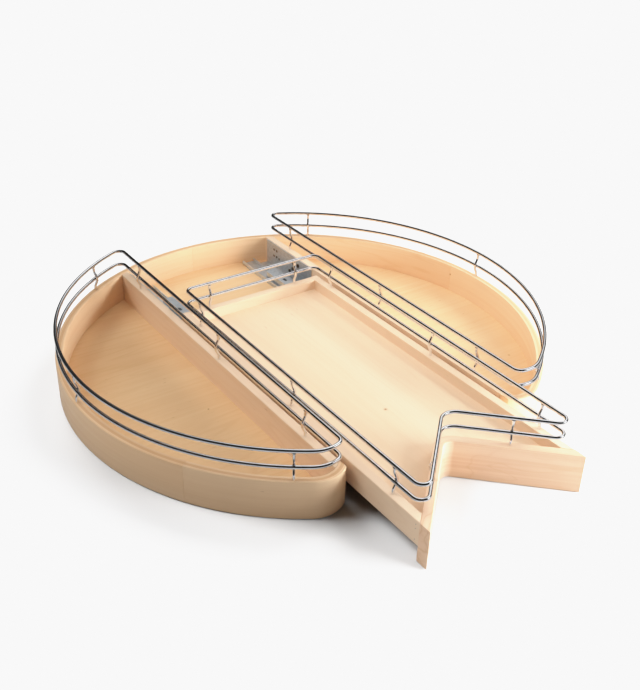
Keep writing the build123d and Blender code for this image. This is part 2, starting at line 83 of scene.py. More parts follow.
# Slides and brackets. A spot on a bracket is its distance from the rear end, then its height
# above the walls' foot.
slide_gauge = 1.2 * MM
slide_lip = 2.6 * MM
channel_bend_radii = (1.5 * MM, 1.0 * MM, 0.3 * MM, 0.3 * MM, 0.15 * MM, 0.5 * MM)
hook_tab_radii = (0.2 * MM, 0.2 * MM, 2.6 * MM, 2.6 * MM)
hook_pin_radius = 2.5 * MM
hook_pin_reach = 8.0 * MM
bracket_gauge = 2.0 * MM
bracket_screw_spots = ((0.097, 0.049), (0.115, 0.0495), (0.097, 0.036), (0.086, 0.027))
bracket_hole_spots = ((0.027, 0.050), (0.037, 0.050), (0.027, 0.0365), (0.037, 0.037), (0.046, 0.036))
bracket_hole_radius = 2.2 * MM

# Screws. A head is its height, and how far it narrows below its rim.
screw_head_radius = 3.8 * MM
pan_head = (1.8 * MM, 0.05 * MM)
countersunk_head = (0.05 * MM, 2.2 * MM)
recess_depth = 1.1 * MM
cross_turn = math.radians(29)                    # from one screw's cross to the next
shank_radius = 2.0 * MM
clip_shank_radius = 1.6 * MM
wall_screw_length = 12.0 * MM
floor_screw_length = 5.5 * MM
clip_screw_length = 7.4 * MM
divider_screw_length = 32.0 * MM
ring_screw_length = 8.55 * MM
floor_screw_setbacks = (24.0 * MM, 122.0 * MM)
clip_screw_setback = 30.0 * MM
clip_screw_spread = 26.0 / 3 * MM
divider_screw_y = (0.240, 0.0, -0.240)
ring_screw_radius = 138.0 * MM
ring_screw_angles = np.radians(30 + 60 * np.arange(6))

# Eased edges
top_ease = 1.2 * MM
lower_ease = 0.6 * MM
groove_ease = 0.25 * MM
seam_ease = 0.35 * MM
sheet_ease = 0.3 * MM
clip_ease = 0.4 * MM
ring_ease = 0.25 * MM
# Places taken from the frame
wall_bottom, wall_top = [corner.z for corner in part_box("band_right_back")]
panel_bottom, floor_z = [corner.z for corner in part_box("base_panel")]
tray_radius = -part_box("band_left_back")[0].x
bay_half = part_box("divider_right")[0].x
drawer_panel_bottom, drawer_floor = [corner.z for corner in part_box("drawer_bottom")]
drawer_inner, drawer_half = [corner.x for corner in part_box("drawer_side_right")]
drawer_back_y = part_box("drawer_back")[1].y
rail_low, rail_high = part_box("rail_top_right")
top_rail_z = rail_high.z - rail_radius
lower_rail_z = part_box("rail_lower_right")[1].z - rail_radius
band_rail_radius = rail_high.x - rail_radius
divider_rail_x = rail_low.x + rail_radius
drawer_rail_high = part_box("drawer_rail_top")[1]
drawer_rail_x, back_rail_y, drawer_rail_z = [reach - rail_radius for reach in drawer_rail_high]
apex_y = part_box("drawer_front")[0].y + drawer_half * math.tan(notch_angle)
cabinet_low, cabinet_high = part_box("slide_cabinet_member_right")
slide_x, slide_half = (cabinet_low.x + cabinet_high.x) / 2, (cabinet_high.x - cabinet_low.x) / 2
bracket_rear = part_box("slide_bracket_right")[1].y
bracket_holes = [(bracket_rear - ahead, up + wall_bottom) for ahead, up in bracket_hole_spots]
slide_joint = next(j for j in frame["joints"] if j["name"] == "drawer_slide")
drawer_pulled = -slide_joint["range_m"][0]
SIDES = {"right": 1, "left": -1}


# Shapes. A shape is its points, its faces and, on wood, its grain place: the distance along the
# grain, then two distances across it.
def unit(v):
    """Directions of length 1."""
    return v / np.maximum(np.linalg.norm(v, axis=-1, keepdims=True), 1e-12)


def soften(corners, radius, closed=True, steps=4):
    """An outline with rounded corners. At each corner an arc of the given radius touches both
    sides: its centre lies on the corner's bisector, radius / sin(half angle) away, and its
    points turn evenly from one side's touching point to the other's. An open outline's two ends
    stay."""
    p = np.array(corners, float)
    turned = p if closed else p[1:-1]
    before = np.roll(p, 1, 0) if closed else p[:-2]
    after = np.roll(p, -1, 0) if closed else p[2:]
    r = np.broadcast_to(radius, len(turned))[:, None]
    back, ahead = unit(before - turned), unit(after - turned)
    half = np.arccos(np.clip((back * ahead).sum(1, keepdims=True), -1, 1)) / 2
    centre = turned + unit(back + ahead) * r / np.sin(half)
    start = turned + back * r / np.tan(half) - centre
    end = turned + ahead * r / np.tan(half) - centre
    sweep = np.maximum(math.pi - 2 * half, 1e-6)[:, None]
    t = np.linspace(0, 1, steps + 1)[None, :, None]
    arcs = (np.sin((1 - t) * sweep) * start[:, None] + np.sin(t * sweep) * end[:, None]) / np.sin(sweep)
    rounded = (centre[:, None] + arcs).reshape(-1, 2)
    return rounded if closed else np.concatenate([p[:1], rounded, p[-1:]])


def follow(arcs, spacing=3 * MM, turn_step=math.radians(7)):
    """Points and outward normals of a closed path: arcs (centre x, centre y, radius, from, to in
    degrees) with straight lines between them. A point is centre + radius (cos a, sin a), and
    the normal is (cos a, sin a), reversed on a clockwise arc. A point that repeats the one
    before it is left out."""
    points, normals = [], []
    for x, y, radius, start, end in arcs:
        turn = math.radians(end - start)
        count = 1 + math.ceil(max(abs(turn) * radius / spacing, abs(turn) / turn_step))
        a = np.linspace(math.radians(start), math.radians(end), count)
        ray = np.stack([np.cos(a), np.sin(a)], 1)
        points.append(np.array([x, y]) + radius * ray)
        normals.append(math.copysign(1, turn) * ray)
    points, normals = np.concatenate(points), np.concatenate(normals)
    step = np.linalg.norm(points - np.roll(points, 1, 0), axis=1)
    apart = step > 0.0001 * MM
    return points[apart], normals[apart]


def level(flat, z):
    """Flat points or directions as points at height z."""
    return np.concatenate([flat, np.full((len(flat), 1), z)], 1)


def carry(section, points, normals, ups):
    """A grid of points: section point (a, b) at path point p is p + a * normal + b * up."""
    a, b = section[None, :, :1], section[None, :, 1:]
    return points[:, None] + a * normals[:, None] + b * ups[:, None]


def skin(grid, closed=False, grain=None):
    """A shape with quads over the grid, wrapped round the section, and along the path too if it
    is closed. An open path's ends get one face each. Its volume's sign turns it outwards."""
    n, m = grid.shape[:2]
    index = np.arange(n * m).reshape(n, m)
    rows = np.concatenate([index, index[:1]]) if closed else index
    a, b = rows[:-1], rows[1:]
    quads = np.stack([a, b, np.roll(b, -1, 1), np.roll(a, -1, 1)], -1).reshape(-1, 4)
    p = grid.reshape(-1, 3)
    q = p[quads]
    volume = (np.cross(q[:, 0], q[:, 1]) * q[:, 2]).sum() + (np.cross(q[:, 0], q[:, 2]) * q[:, 3]).sum()
    faces = quads.tolist()
    if not closed:
        ends = [index[0].tolist(), index[-1][::-1].tolist()]
        for end in ends:
            fan = p[end]
            volume += (np.cross(fan[0], fan[1:-1]) * fan[2:]).sum()
        faces += ends
    if volume < 0:
        faces = [face[::-1] for face in faces]
    return p, faces, None if grain is None else grain.reshape(-1, 3)


def mirrored(shape):
    """The same shape on the other side of the YZ plane, with its faces turned back outwards."""
    points, faces, grain = shape
    return points * (-1, 1, 1), [face[::-1] for face in faces], grain


def placed(shape, matrix):
    """A shape moved by a matrix."""
    points, faces, grain = shape
    m = np.array(matrix, float)
    return points @ m[:3, :3].T + m[:3, 3], faces, grain


def ring_section(radius, count=20):
    """A circle of points."""
    a = np.linspace(0, 2 * math.pi, count, endpoint=False)
    return radius * np.stack([np.cos(a), np.sin(a)], 1)


def wire_loop(arcs, z):
    """A closed wire: a circle carried along a level path."""
    points, normals = follow(arcs)
    up = np.tile([0.0, 0.0, 1.0], (len(points), 1))
    section = ring_section(rail_radius)
    return skin(carry(section, level(points, z), level(normals, 0), up), closed=True)


def drawn_in(outline, distance):
    """An outline moved inwards along its own normals."""
    before, ahead = np.roll(outline, 1, 0), np.roll(outline, -1, 0)
    tangent = unit(ahead - before)
    inward = np.stack([-tangent[:, 1], tangent[:, 0]], 1)
    area = (outline[:, 0] * ahead[:, 1] - ahead[:, 0] * outline[:, 1]).sum()
    return outline + math.copysign(distance, area) * inward


def extruded(outline, x, start, end, chamfer=0.2 * MM):
    """An outline (across from x, up) carried along Y, its ends eased by a small chamfer: the
    first and last rings are the outline drawn in."""
    small = drawn_in(outline, chamfer)
    stations = np.array([start, start + chamfer, end - chamfer, end])
    sections = np.stack([small, outline, outline, small])
    grid = np.empty((4, len(outline), 3))
    grid[:, :, 0] = x + sections[:, :, 0]
    grid[:, :, 1] = stations[:, None]
    grid[:, :, 2] = sections[:, :, 1]
    return skin(grid)


def bead(centre, radii, turn):
    """A weld bead: an ellipsoid whose radius swells and shrinks by a few percent with
    sin(3 longitude) * sin(4 latitude), turned about Z."""
    lat = np.linspace(0, math.pi, 9)[1:-1]
    lon = np.linspace(0, 2 * math.pi, 14, endpoint=False)
    swell = 1 + 0.06 * np.sin(3 * lon)[None] * np.sin(4 * lat)[:, None]
    x = swell * np.sin(lat)[:, None] * np.cos(lon)[None] * radii[0]
    y = swell * np.sin(lat)[:, None] * np.sin(lon)[None] * radii[1]
    z = swell * np.cos(lat)[:, None] * radii[2]
    shape = skin(np.stack([x, y, z], -1))
    return placed(shape, Matrix.Translation(Vector(centre)) @ Matrix.Rotation(turn, 4, "Z"))


def add_piece(name, shapes, material, body, stands_for=(), sharp=40):
    """Joins shapes into one piece that rides on a body."""
    points = np.concatenate([shape[0] for shape in shapes])
    starts = np.cumsum([0] + [len(shape[0]) for shape in shapes])
    faces = [[i + start for i in face] for shape, start in zip(shapes, starts) for face in shape[1]]
    mesh = bpy.data.meshes.new(name)
    mesh.from_pydata(points.tolist(), [], faces)
    if shapes[0][2] is not None:
        grain = mesh.attributes.new("grain", "FLOAT_VECTOR", "POINT")
        places = np.concatenate([shape[2] for shape in shapes])
        grain.data.foreach_set("vector", places.astype(np.float32).ravel())
    mesh.shade_smooth()
    mesh.set_sharp_from_angle(angle=math.radians(sharp))
    mesh.materials.append(material)
    piece = bpy.data.objects.new(name, mesh)
    bpy.context.scene.collection.objects.link(piece)
    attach(piece, body)
    if stands_for:
        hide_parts(*stands_for)


# Shader maths
class Term:
    """A socket. Sums, products and the like of terms and numbers add Math nodes."""

    def __init__(self, finish, socket):
        self.finish, self.socket = finish, socket

    def _math(self, operation, first, second):
        return self.finish.node("ShaderNodeMath", {"operation": operation}, {0: first, 1: second})

    def __add__(self, other):
        return self._math("ADD", self, other)

    def __sub__(self, other):
        return self._math("SUBTRACT", self, other)

    def __mul__(self, other):
        return self._math("MULTIPLY", self, other)

    def __rsub__(self, other):
        return self._math("SUBTRACT", other, self)

    __radd__ = __add__
    __rmul__ = __mul__

    def bounce(self, width):
        """Up from 0 to a width, back to 0 and up again, as the value grows."""
        return self._math("PINGPONG", self, width)


class Finish:
    """A material in the making, or the world's own nodes."""

    def __init__(self, name, world=None):
        self.material = world or bpy.data.materials.new(name)
        self.material.use_nodes = True
        self.tree = self.material.node_tree
        self.tree.nodes.clear()

    def node(self, kind, settings=None, sockets=None, output=0):
        """Adds a node, sets its settings, then the values or links of its sockets."""
        node = self.tree.nodes.new(kind)
        for key, value in (settings or {}).items():
            setattr(node, key, value)
        for key, value in (sockets or {}).items():
            if isinstance(value, Term):
                self.tree.links.new(value.socket, node.inputs[key])
            else:
                node.inputs[key].default_value = value
        return Term(self, node.outputs[output]) if len(node.outputs) else None

    def here(self):
        """Where a point lies on the object's own axes, in metres."""
        return self.node("ShaderNodeTexCoord", output=3)

    def vector(self, operation, first, second=(0, 0, 0)):
        """A Vector Math node. Length, distance and dot product come out as a number."""
        number = operation in ("LENGTH", "DISTANCE", "DOT_PRODUCT")
        return self.node("ShaderNodeVectorMath", {"operation": operation}, {0: first, 1: second}, int(number))

    def part(self, vector, axis):
        """One of a vector's three numbers: 0, 1 or 2."""
        return self.node("ShaderNodeSeparateXYZ", {}, {0: vector}, axis)

    def scaled(self, vector, scale):
        """A vector stretched by a factor along each axis."""
        return self.vector("MULTIPLY", vector, scale)

    def noise(self, vector, scale, detail=2.0, roughness=0.5, distortion=0.0):
        """Noise from 0 to 1, its scale given for each axis in features per metre."""
        return self.node("ShaderNodeTexNoise", {}, {
            "Vector": self.scaled(vector, scale), "Scale": 1.0, "Detail": detail,
            "Roughness": roughness, "Distortion": distortion,
        })

    def ramp(self, value, low, high, bottom=0.0, top=1.0):
        """A smooth step from bottom to top while value goes from low to high."""
        return self.node("ShaderNodeMapRange", {"interpolation_type": "SMOOTHSTEP"}, {
            "Value": value, "From Min": low, "From Max": high, "To Min": bottom, "To Max": top,
        })

    def mix(self, factor, first, second):
        """One colour going over into another while factor goes from 0 to 1."""
        colours = [c if isinstance(c, Term) else (*c, 1) for c in (first, second)]
        return self.node("ShaderNodeMix", {"data_type": "RGBA"},
                         {0: factor, 6: colours[0], 7: colours[1]}, output=2)

    def bump(self, height, strength, distance):
        """Relief, its distance in metres."""
        return self.node("ShaderNodeBump", {}, {"Strength": strength, "Distance": distance, "Height": height})

    def rays(self):
        """1 on what the camera sees by itself, and 1 on what a reflection sees."""
        return self.node("ShaderNodeLightPath", output=0), self.node("ShaderNodeLightPath", output=3)

    def surface(self, **sockets):
        """The shader itself. Socket names have underscores for spaces."""
        named = {key.replace("_", " "): value for key, value in sockets.items()}
        shader = self.node("ShaderNodeBsdfPrincipled", {}, named)
        self.node("ShaderNodeOutputMaterial", {}, {"Surface": shader})
        return self.material


def grain_place(finish, along):
    """Where a point lies in the wood, in metres: along the grain, then across it twice. A piece
    with its own grain attribute has it there; a board takes it from its own X or Y axis."""
    if along == "path":
        return finish.node("ShaderNodeAttribute", {"attribute_name": "grain"}, output=1)
    if along == "X":
        return finish.here()
    quarter_turn = (0, 0, math.radians(90))
    return finish.node("ShaderNodeMapping", {}, {"Vector": finish.here(), "Rotation": quarter_turn})


def wood(name, along, pale, warm, seed, figure=0.5, wave=1.3, plies=False, knots_and_bore_shade=()):
    """Lacquered maple or birch. Tone drifts slowly along the grain, wave times in a metre; contour lines of
    the same drift make the growth lines; fine fibres and sparse flecks lie along the grain. With plies, the
    upward edge shows them, the middle ones browner. A knot is a place and a radius; the same brown halo and
    dark core also paint shade inside a bore."""
    f = Finish(name)
    at = f.vector("ADD", grain_place(f, along), (seed, seed, seed))
    drift = f.noise(at, (wave, 11, 11), detail=3, roughness=0.55, distortion=0.25)
    tone = f.noise(at, (0.9, 3.5, 3.5), detail=2)
    lines = f.ramp((drift * 11).bounce(0.5), 0.0, 0.16, 1.0, 0.0) * f.ramp(tone, 0.35, 0.65)
    fibre = f.noise(at, (14, 1100, 1100), detail=2, roughness=0.6)
    streak = f.noise(at, (2.5, 130, 130), detail=2, roughness=0.6)
    specks = f.ramp(f.noise(at, (55, 420, 420), detail=1), 0.735, 0.78)
    fleck = specks * f.ramp(f.noise(at, (9, 9, 9)), 0.5, 0.62)
    colour = f.mix(f.ramp(drift * 0.6 + tone * 0.4, 0.3, 0.7), pale, warm)
    dark = (pale[0] * 0.80, pale[1] * 0.68, pale[2] * 0.55)
    colour = f.mix(lines * (0.34 * figure), colour, dark)
    colour = f.mix(f.ramp(streak, 0.35, 0.75) * (0.22 * figure), colour, dark)
    colour = f.mix(f.ramp(fibre, 0.45, 0.8) * 0.12, colour, dark)
    colour = f.mix(fleck * 0.45, colour, (pale[0] * 0.50, pale[1] * 0.34, pale[2] * 0.22))
    if plies:
        depth = f.part(grain_place(f, along), 2)
        layer = f.ramp((depth * (1 / ply)).bounce(1.0), 0.42, 0.58)
        core = f.ramp(depth.bounce(band_thickness / 2), 0.27 * band_thickness, 0.36 * band_thickness)
        facing = f.node("ShaderNodeNewGeometry", output=3)
        on_edge = f.ramp(f.part(facing, 2), 0.5, 0.9)
        brown = (warm[0] * 0.74, warm[1] * 0.58, warm[2] * 0.46)
        colour = f.mix(core * on_edge * 0.5, colour, brown)
        colour = f.mix(layer * on_edge * 0.22, colour, brown)
    place = f.here()
    # Each spot darkens the wood round a place: a real knot, or painted shade inside a bore.
    for centre, size in knots_and_bore_shade:
        away = f.vector("DISTANCE", place, centre)
        colour = f.mix(f.ramp(away, size * 0.6, size * 2.6, 0.45, 0.0), colour, (0.62, 0.36, 0.16))
        colour = f.mix(f.ramp(away, size * 0.4, size * 1.1, 0.85, 0.0), colour, (0.30, 0.13, 0.045))
    relief = fibre * 0.5 + lines * 0.35 + fleck * 0.6
    return f.surface(Base_Color=colour, Roughness=f.ramp(streak, 0.3, 0.7, 0.36, 0.46),
                     Normal=f.bump(1 - relief, 0.12, 0.3 * MM), Specular_IOR_Level=0.3,
                     Coat_Weight=0.15, Coat_Roughness=0.22)


def chrome():
    """Polished chrome plate on wire: faint waves left by drawing, and a few dull patches."""
    f = Finish("chrome_wire")
    dull = f.noise(f.here(), (90, 90, 90), detail=3)
    wave = f.noise(f.here(), (40, 40, 40), detail=1)
    colour = f.mix(f.ramp(dull, 0.35, 0.75), (0.90, 0.90, 0.91), (0.80, 0.80, 0.82))
    return f.surface(Base_Color=colour, Metallic=1.0, Roughness=f.ramp(dull, 0.3, 0.8, 0.05, 0.12),
                     Normal=f.bump(wave, 0.05, 0.4 * MM))


def plated(name, bright, dull, rough, metallic=1.0, shaded_bores=()):
    """Zinc plate: spangled patches over a faint rolled streak. Chromate makes some of it matt. The walls of
    punched holes, whose axes lie along X, get painted shade: they are darkened as if unlit."""
    f = Finish(name)
    here = f.here()
    cells = f.scaled(here, (260, 260, 260))
    patch = f.node("ShaderNodeTexVoronoi", {}, {"Vector": cells, "Scale": 1.0}, output=1)
    spangle = f.part(patch, 0)
    streak = f.noise(here, (400, 30, 400), detail=3)
    worn = f.noise(here, (35, 35, 35), detail=4, roughness=0.65)
    colour = f.mix(f.ramp(spangle * 0.35 + streak * 0.65, 0.25, 0.75), bright, dull)
    grey = (dull[0] * 0.75, dull[1] * 0.75, dull[2] * 0.72)
    colour = f.mix(f.ramp(worn, 0.55, 0.75) * 0.3, colour, grey)
    # Painted shade: near black inside each punched hole's radius, fading out over a thin rim round it.
    for y, z, radius in shaded_bores:
        away = f.vector("DISTANCE", f.scaled(here, (0, 1, 1)), (0, y, z))
        hole_shade = f.ramp(away, radius + 0.1 * MM, radius + 0.5 * MM, 0.9, 0.0)
        colour = f.mix(hole_shade, colour, (0.03, 0.028, 0.025))
    patchy = worn * 0.6 + spangle * 0.4
    return f.surface(Base_Color=colour, Metallic=metallic, Normal=f.bump(streak, 0.08, 0.3 * MM),
                     Roughness=f.ramp(patchy, 0.2, 0.8, rough - 0.05, rough + 0.06))


def moulded():
    """Grey moulded plastic with a fine spark-eroded texture."""
    f = Finish("clip_plastic")
    grit = f.noise(f.here(), (1500, 1500, 1500), detail=3, roughness=0.7)
    cloud = f.noise(f.here(), (60, 60, 60), detail=2)
    colour = f.mix(cloud, (0.075, 0.078, 0.083), (0.10, 0.104, 0.11))
    return f.surface(Base_Color=colour, Roughness=f.ramp(grit, 0.3, 0.7, 0.42, 0.58),
                     Normal=f.bump(grit, 0.25, 0.2 * MM))


birch_pale, birch_warm = (0.87, 0.60, 0.37), (0.80, 0.50, 0.28)
panel_pale, panel_warm = (0.88, 0.59, 0.33), (0.81, 0.50, 0.26)
drawer_pale, drawer_warm = (0.89, 0.675, 0.47), (0.83, 0.585, 0.385)
maple_pale, maple_warm = (0.89, 0.67, 0.48), (0.83, 0.59, 0.40)
front_pale, front_warm = (0.90, 0.64, 0.45), (0.83, 0.53, 0.35)
zinc_bright, zinc_dull = (0.68, 0.74, 0.79), (0.58, 0.63, 0.67)
# Painted shade on the dividers: a dark spot where each bracket hole lies over the face, standing for the
# unlit inside of a pilot bore.
bore_shade_spots = [((sign * bay_half, y, z), bracket_hole_radius)
               for sign in SIDES.values() for y, z in bracket_holes]
band_knot = ((0.3895, 0.0577, 0.047), 1.6 * MM)
drawer_knot = ((-0.005, -0.2416, drawer_floor), 2.2 * MM)
floor_knots = [((-0.2104, -0.0532, floor_z), 1.3 * MM), ((0.3144, -0.1884, floor_z), 1.5 * MM)]
finishes = {
    "band": wood("birch_band", "path", birch_pale, birch_warm, seed=3.1, figure=0.9, plies=True,
                 knots_and_bore_shade=[band_knot]),
    "front": wood("maple_front", "path", front_pale, front_warm, seed=7.7, figure=2.2, wave=4.5),
    "floor": wood("birch_floor", "X", panel_pale, panel_warm, seed=1.3, figure=1.0, knots_and_bore_shade=floor_knots),
    "drawer_floor": wood("birch_drawer_floor", "Y", drawer_pale, drawer_warm, seed=5.9, figure=0.4,
                         knots_and_bore_shade=[drawer_knot]),
    "board_y": wood("maple_board", "Y", maple_pale, maple_warm, seed=9.4, figure=0.5),
    "divider": wood("maple_divider", "Y", maple_pale, maple_warm, seed=4.6, figure=0.7, knots_and_bore_shade=bore_shade_spots),
    "board_x": wood("maple_cross_board", "X", maple_pale, maple_warm, seed=11.2, figure=0.5),
    "chrome": chrome(),
    "zinc": plated("zinc_slide", zinc_bright, zinc_dull, 0.36, metallic=0.75),
    "bracket": plated("zinc_bracket", zinc_bright, zinc_dull, 0.36, metallic=0.75,
                      shaded_bores=[(y, z, bracket_hole_radius) for y, z in bracket_holes]),
    "ring": plated("zinc_ring", (0.62, 0.63, 0.64), (0.48, 0.49, 0.50), 0.36),
    "screw": plated("zinc_screw", (0.70, 0.69, 0.64), (0.55, 0.54, 0.50), 0.30),
    "dark_screw": plated("dark_screw", (0.24, 0.23, 0.22), (0.16, 0.15, 0.14), 0.34),
    "ball": plated("ball_steel", (0.78, 0.78, 0.79), (0.70, 0.70, 0.71), 0.16),
    "brad": plated("brad_steel", (0.34, 0.30, 0.26), (0.22, 0.19, 0.16), 0.45),
    "clip": moulded(),
}


def finish_node(node, finish):
    """Gives a node of the frame its finish."""
    materials = frame["nodes"][node].data.materials
    materials.clear()
    materials.append(finishes[finish])


# Bent bands
def lobe_centre():
    """Centre of the right lobe: one lobe radius inside both the tray's circle and the V's line,
    for the V where it lies with the drawer shut."""
    normal = np.array([-math.sin(notch_angle), -math.cos(notch_angle)])
    along = np.array([math.cos(notch_angle), -math.sin(notch_angle)])
    depth = -(apex_y + drawer_pulled) * math.cos(notch_angle) - lobe_radius
    reach = math.sqrt((tray_radius - lobe_radius) ** 2 - depth ** 2)
    return normal * depth + along * reach


lobe = lobe_centre()
lobe_angle = math.degrees(math.atan2(lobe[1], lobe[0]))


def wall_section(thickness, groove, low, high):
    """A wall's section as (depth from its outer face, height): eased edges, and a groove from
    low to high that holds a panel's edge."""
    t, g = thickness, thickness - groove
    corners = [(0, wall_bottom), (t, wall_bottom), (t, low), (g, low),
               (g, high), (t, high), (t, wall_top), (0, wall_top)]
    radii = [lower_ease] * 2 + [groove_ease] * 4 + [top_ease] * 2
    return soften(corners, np.array(radii), steps=5)


def lobe_stations(depth):
    """The band's stations on the right lobe, cut flat at the divider's face: each section
    point's arc starts where its own circle meets that face, and all end together at the lobe's
    join with the big circle. Their distances along the band are counted from that join."""
    radius = lobe_radius - depth
    cut = 2 * math.pi - np.arccos((bay_half - lobe[0]) / radius)
    join = 2 * math.pi + math.radians(lobe_angle)
    t = np.linspace(0, 1, 36)[:-1, None]
    a = cut + t * (join - cut)
    flat = np.stack([lobe[0] + radius * np.cos(a), lobe[1] + radius * np.sin(a)], -1)
    return flat, -(1 - t[:, 0]) * (join - cut.min()) * lobe_radius


def bent_band(start, end, tone, spacing=4 * MM):
    """A length of band between two angles of the tray's circle. At a butt joint its section is
    drawn in, which eases the edge. With start None it begins on the lobe instead, at the
    divider. Tone shifts the figure of the wood."""
    section = wall_section(band_thickness, band_rabbet, panel_bottom, floor_z)
    eased = drawn_in(section, seam_ease)
    depth, height = section[:, 0], section[:, 1]
    ease = seam_ease / tray_radius
    from_lobe = start is None
    first, last = math.radians(lobe_angle if from_lobe else start), math.radians(end)
    count = 1 + math.ceil(abs(last - first) * tray_radius / spacing)
    a = np.append(np.linspace(first if from_lobe else first + ease, last - ease, count), last)
    sections = np.stack([section] * count + [eased])
    if not from_lobe:
        a, sections = np.append(first, a), np.concatenate([eased[None], sections])
    radius, up = tray_radius - sections[:, :, 0], sections[:, :, 1]
    flat = np.stack([np.cos(a)[:, None] * radius, np.sin(a)[:, None] * radius], -1)
    length = (a - a[0]) * tray_radius
    if from_lobe:
        on_lobe, lobe_length = lobe_stations(depth)
        flat, length = np.concatenate([on_lobe, flat]), np.concatenate([lobe_length, length])
        up = np.concatenate([np.tile(height, (len(on_lobe), 1)), up])
    grid = np.concatenate([flat, up[..., None]], -1)
    along = np.broadcast_to(length[:, None], flat.shape[:2])
    grain = np.stack([along + tone, up + tone, np.broadcast_to(depth, along.shape)], -1)
    return skin(grid, grain=grain)


bands = {
    "right_front": bent_band(None, seam_angles[0], tone=0.2),
    "right_back": bent_band(seam_angles[0], seam_angles[1], tone=1.1),
    "left_back": bent_band(seam_angles[1], seam_angles[2], tone=2.4),
    "left_front": mirrored(bent_band(None, 180 - seam_angles[2], tone=3.3)),
}
for name, shape in bands.items():
    add_piece(f"bent_band_{name}", [shape], finishes["band"], "tray", [f"band_{name}"])


# V front of the drawer
def bent_front():
    """The V: a straight, a bend and a straight. Depth is measured back from the face that the
    user sees, so the bend's radius there is front_bend_radius and grows with depth. The ends
    slide along each straight until they lie in the planes of the drawer's sides, and the groove
    stops short of them."""
    section = wall_section(front_thickness, panel_groove, drawer_panel_bottom, drawer_floor)
    depth, height = section[:, 0], section[:, 1]
    centre_y = apex_y - front_bend_radius / math.cos(notch_angle)
    a = np.linspace(notch_angle, -notch_angle, 25)[:, None]
    radius = front_bend_radius + depth
    heights = np.broadcast_to(height, (len(a), len(height)))
    bend = np.stack([-radius * np.sin(a), centre_y + radius * np.cos(a), heights], -1)
    groove_middle = (drawer_panel_bottom + drawer_floor) / 2
    groove_reach = (drawer_floor - drawer_panel_bottom) / 2 + 2 * groove_ease
    in_groove = (depth > front_thickness / 2) & (abs(height - groove_middle) < groove_reach)
    full = depth.copy()
    full[in_groove] = front_thickness
    full_height = height.copy()
    full_height[in_groove] = np.linspace(height[in_groove][0], height[in_groove][-1], in_groove.sum())
    panel_reach = drawer_inner + panel_groove
    groove_end = panel_reach + 0.1 * MM

    def station(x, deep, high):
        """The section on the left straight at one x: each point lies on its own depth's line."""
        y = centre_y + (front_bend_radius + deep) / math.cos(notch_angle) + x * math.tan(notch_angle)
        return np.stack([np.full(len(deep), x), y, high], -1)

    left = np.stack([
        station(-drawer_half, full, full_height),
        station(-groove_end, full, full_height),
        station(-panel_reach, depth, height),
    ])
    right = left[::-1] * (-1, 1, 1)
    grid = np.concatenate([left, bend, right])
    face = grid[:, 0, 0] / math.cos(notch_angle)
    along = np.broadcast_to(face[:, None], grid.shape[:2])
    grain = np.stack([along, grid[:, :, 2], np.broadcast_to(depth, along.shape)], -1)
    return skin(grid, grain=grain)


add_piece("bent_drawer_front", [bent_front()], finishes["front"], "drawer", ["drawer_front"])

# Boards, panels, brads and balls keep the frame's shapes
for node, finish in {
    "base_panel": "floor", "drawer_bottom": "drawer_floor", "drawer_back": "board_x",
    "divider_left": "divider", "divider_right": "divider",
    "drawer_side_left": "board_y", "drawer_side_right": "board_y",
    "drawer_brads": "brad", "turntable_balls": "ball",
}.items():
    finish_node(node, finish)


# Wire rails
def tray_rail_arcs():
    """The right rail seen from above: a back corner, the big arc, the lobe, a front corner."""
    r = rail_corner_radius
    inner_lobe = lobe_radius - (tray_radius - band_rail_radius)
    corner_x = divider_rail_x + r
    back_y = math.sqrt((band_rail_radius - r) ** 2 - corner_x ** 2)
    front_y = lobe[1] - math.sqrt((inner_lobe - r) ** 2 - (corner_x - lobe[0]) ** 2)
    back_angle = math.degrees(math.atan2(back_y, corner_x))
    front_angle = math.degrees(math.atan2(front_y - lobe[1], corner_x - lobe[0]))
    return [
        (corner_x, front_y, r, -180, front_angle),
        (lobe[0], lobe[1], inner_lobe, front_angle, lobe_angle),
        (0, 0, band_rail_radius, lobe_angle, back_angle),
        (corner_x, back_y, r, back_angle, 180),
    ]


def drawer_rail_arcs():
    """The drawer's rail seen from above: four outer corners and the V's apex, which turns the
    other way."""
    r, x = rail_corner_radius, drawer_rail_x
    turn = math.degrees(notch_angle)
    rail_apex_y = apex_y + front_thickness / 2 / math.cos(notch_angle)
    end_y = rail_apex_y - x * math.tan(notch_angle)
    sharp = (math.pi / 2 - notch_angle) / 2
    front_y = end_y + r / math.tan(sharp)
    pivot_y = rail_apex_y - rail_apex_radius / math.cos(notch_angle)
    return [
        (x - r, back_rail_y - r, r, 0, 90),
        (r - x, back_rail_y - r, r, 90, 180),
        (r - x, front_y, r, 180, 270 + turn),
        (0, pivot_y, rail_apex_radius, 90 + turn, 90 - turn),
        (x - r, front_y, r, 270 - turn, 360),
    ]


def post(foot, inward, rail_top):
    """A wire post: a circle carried along a path that leans inwards round the lower rail and
    comes back under the top one. The path lies in the upright plane through inward."""
    reach = rail_radius + post_radius
    low = lower_rail_z - wall_top
    corners = [(0, -post_depth), (0, post_lean_start), (reach, low - post_bypass), (reach, low + post_bypass),
               (0, low + post_lean_end), (0, rail_top - wall_top - rail_radius / 2)]
    line = soften(corners, post_bend_radius, closed=False, steps=6)
    tangent = unit(np.gradient(line, axis=0))
    out = np.array([inward[0], inward[1], 0.0])
    side = np.tile([inward[1], -inward[0], 0.0], (len(line), 1))
    points = np.array([foot[0], foot[1], wall_top]) + line[:, :1] * out + line[:, 1:] * np.array([0, 0, 1.0])
    normals = tangent[:, 1:] * out - tangent[:, :1] * np.array([0, 0, 1.0])
    return skin(carry(ring_section(post_radius, 14), points, normals, side))


